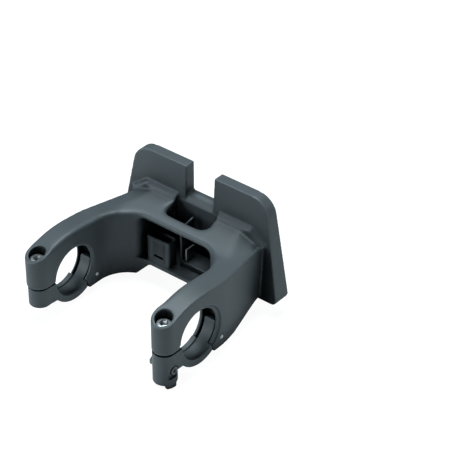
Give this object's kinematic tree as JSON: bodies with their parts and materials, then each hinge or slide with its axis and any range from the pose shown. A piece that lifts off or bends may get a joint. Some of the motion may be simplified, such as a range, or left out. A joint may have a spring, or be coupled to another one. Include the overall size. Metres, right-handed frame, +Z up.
{
  "type": "bicycle basket mount",
  "caption": "Handlebar bracket with hinged clamps on arched arms, joined by a web with a latch receiver to a notched wedge plate for a quick-release basket.",
  "frame": {"origin": "on the axis of the two handlebar clamps, midway between them", "axes": "+X along the handlebar, towards the arm with the cable lug; +Y from the handlebar to the basket plate; +Z up, along the clamp bolts towards their heads"},
  "size_m": [0.135, 0.1157, 0.0836],
  "materials": {
    "moulding": "fine-grained glass-filled nylon, dark slate grey",
    "pin_steel": "plain ground pin",
    "bolt_steel": "satin stainless steel",
    "insert_brass": "plain turned brass",
    "strike_steel": "flat sheet steel, zinc plated"
  },
  "bodies": {
    "bracket": {"bracket_body": "moulding", "hinge_pin_left": "pin_steel", "hinge_pin_right": "pin_steel", "bolt_washer_left": "bolt_steel", "bolt_washer_right": "bolt_steel", "latch_strike": "strike_steel"},
    "jaw_left": {"lower_jaw_left": "moulding", "threaded_insert_left": "insert_brass"},
    "jaw_right": {"lower_jaw_right": "moulding", "threaded_insert_right": "insert_brass", "cable_screw": "bolt_steel", "cable_screw_nut": "bolt_steel"},
    "bolt_left": {"clamp_bolt_left": "bolt_steel"},
    "bolt_right": {"clamp_bolt_right": "bolt_steel"}
  },
  "joints": [
    {"name": "jaw_left_hinge", "type": "hinge", "parent": "bracket", "child": "jaw_left", "pos_m": [-0.0535, 0.02099, -0.01448], "axis": [1, 0, 0], "range_deg": [0, 60]},
    {"name": "jaw_right_hinge", "type": "hinge", "parent": "bracket", "child": "jaw_right", "pos_m": [0.0535, 0.02099, -0.01448], "axis": [1, 0, 0], "range_deg": [0, 60]},
    {"name": "bolt_left_slide", "type": "slide", "parent": "bracket", "child": "bolt_left", "axis": [0, 0, 1], "range_m": [0, 0.021]},
    {"name": "bolt_right_slide", "type": "slide", "parent": "bracket", "child": "bolt_right", "axis": [0, 0, 1], "range_m": [0, 0.021]}
  ],
  "couplings": [
    {"joint": "bolt_left_slide", "follows": "jaw_left_hinge", "m_per_rad": 0.02},
    {"joint": "bolt_right_slide", "follows": "jaw_right_hinge", "m_per_rad": 0.02}
  ]
}
